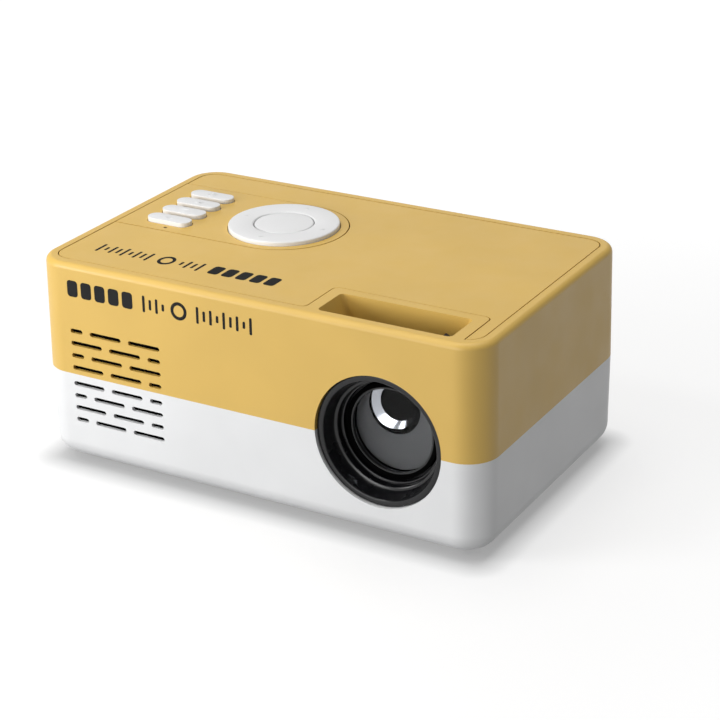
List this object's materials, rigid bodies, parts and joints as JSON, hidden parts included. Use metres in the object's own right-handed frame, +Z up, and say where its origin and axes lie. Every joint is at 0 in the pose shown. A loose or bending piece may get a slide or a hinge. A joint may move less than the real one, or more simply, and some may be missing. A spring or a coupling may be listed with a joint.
{
  "type": "home projector",
  "caption": "Pocket projector in a two-part rounded case, with a recessed lens, a sliding focus lever, top keys, a rocking direction ring and a cooling fan behind slotted vents.",
  "frame": {"origin": "centre of the footprint, on the surface under the feet", "axes": "+Z up; the lens looks along -Y; +X is the side the lens is nearest to and the long side of the case"},
  "size_m": [0.14, 0.0874, 0.063],
  "materials": {
    "bare_aluminium": "extruded aluminium",
    "black_gloss": "glossy black moulding",
    "black_plastic": "matt black moulding",
    "brass_thread": "turned brass",
    "bright_aluminium": "bright turned or polished aluminium",
    "capacitor_sleeve": "shrunk dark sleeve",
    "chip_black": "moulded black resin",
    "circuit_board": "green solder mask",
    "clear_sheet": "clear acrylic",
    "foot_rubber": "soft pale rubber",
    "lcd_glass": "liquid crystal glass sandwich",
    "led_yellow": "phosphor over a light-emitting chip",
    "mirror_glass": "silvered glass",
    "optical_glass": "polished glass",
    "plug_white": "cream nylon",
    "ribbon_amber": "amber polyimide",
    "ribbon_white": "flat white ribbon",
    "screw_steel": "zinc-plated steel",
    "speaker_black": "black frame and magnet",
    "tinned_steel": "tinned sheet steel",
    "white_case": "fine satin moulded plastic, white",
    "white_key": "smooth satin white plastic",
    "wire_sheath": "soft wire insulation",
    "yellow_case": "fine satin moulded plastic, warm yellow"
  },
  "bodies": {
    "case": {"av_jack": "chip_black", "board_capacitors": "capacitor_sleeve", "board_chips": "chip_black", "board_plugs": "plug_white", "card_socket": "tinned_steel", "case_screws": "screw_steel", "chassis_screws": "screw_steel", "condenser_lens": "optical_glass", "dc_inlet": "chip_black", "engine_cover": "black_plastic", "engine_housing": "black_plastic", "fan_frame": "black_plastic", "fan_lead": "wire_sheath", "feet": "foot_rubber", "fold_mirror": "mirror_glass", "front_fresnel": "clear_sheet", "hdmi_socket": "tinned_steel", "heat_glass": "optical_glass", "heat_sink": "bare_aluminium", "ir_receiver": "chip_black", "keypad_board": "circuit_board", "keypad_plate": "yellow_case", "keypad_ribbon": "ribbon_white", "keypad_screws": "screw_steel", "lcd_panel": "lcd_glass", "lcd_ribbon": "ribbon_amber", "led_board": "bare_aluminium", "led_chip": "led_yellow", "led_lead": "wire_sheath", "lens_bezel": "black_gloss", "lens_mount": "black_plastic", "light_cone": "bright_aluminium", "lower_shell": "white_case", "main_board": "circuit_board", "mount_screws": "screw_steel", "rear_fresnel": "clear_sheet", "speaker": "speaker_black", "speaker_lead": "wire_sheath", "status_led": "led_yellow", "status_light_pipe": "clear_sheet", "tact_switches": "tinned_steel", "top_panel": "yellow_case", "tripod_insert": "brass_thread", "upper_shell": "yellow_case", "usb_socket": "tinned_steel"},
    "back_key": {"back_key": "white_key"},
    "menu_key": {"menu_key": "white_key"},
    "input_key": {"input_key": "white_key"},
    "power_key": {"power_key": "white_key"},
    "enter_button": {"enter_button": "white_key"},
    "nav_cradle": {"nav_cradle": "black_plastic"},
    "nav_ring": {"nav_ring": "white_key"},
    "focus_lever": {"focus_lever": "black_plastic"},
    "lens_barrel": {"lens_barrel": "black_plastic", "lens_retaining_ring": "black_plastic", "front_lens": "optical_glass", "lens_spacer": "bright_aluminium", "aperture_stop": "black_plastic", "rear_lens": "optical_glass"},
    "fan_rotor": {"fan_rotor": "black_plastic"}
  },
  "joints": [
    {"name": "back_key_press", "type": "slide", "parent": "case", "child": "back_key", "axis": [0, 0, -1], "range_m": [0, 0.0005], "stiffness_N_per_m": 800},
    {"name": "menu_key_press", "type": "slide", "parent": "case", "child": "menu_key", "axis": [0, 0, -1], "range_m": [0, 0.0005], "stiffness_N_per_m": 800},
    {"name": "input_key_press", "type": "slide", "parent": "case", "child": "input_key", "axis": [0, 0, -1], "range_m": [0, 0.0005], "stiffness_N_per_m": 800},
    {"name": "power_key_press", "type": "slide", "parent": "case", "child": "power_key", "axis": [0, 0, -1], "range_m": [0, 0.0005], "stiffness_N_per_m": 800},
    {"name": "enter_press", "type": "slide", "parent": "case", "child": "enter_button", "axis": [0, 0, -1], "range_m": [0, 0.0004], "stiffness_N_per_m": 800},
    {"name": "ring_rock_sideways", "type": "hinge", "parent": "case", "child": "nav_cradle", "pos_m": [-0.0203, 0.0093, 0.0588], "axis": [0, 1, 0], "range_deg": [-1.5, 1.5], "stiffness_Nm_per_rad": 0.5},
    {"name": "ring_rock_lengthways", "type": "hinge", "parent": "nav_cradle", "child": "nav_ring", "pos_m": [-0.0203, 0.0093, 0.0588], "axis": [1, 0, 0], "range_deg": [-1.5, 1.5], "stiffness_Nm_per_rad": 0.5},
    {"name": "focus_turn", "type": "hinge", "parent": "case", "child": "focus_lever", "pos_m": [0.0392, -0.03, 0.0295], "axis": [0, -1, 0], "range_deg": [0, 58]},
    {"name": "barrel_slide", "type": "slide", "parent": "case", "child": "lens_barrel", "axis": [0, -1, 0], "range_m": [0, 0.003]},
    {"name": "fan_spin", "type": "hinge", "parent": "case", "child": "fan_rotor", "pos_m": [-0.0433, -0.0354, 0.0286], "axis": [0, 1, 0], "continuous": true}
  ],
  "couplings": [
    {"joint": "barrel_slide", "follows": "focus_turn", "m_per_rad": 0.0029}
  ]
}
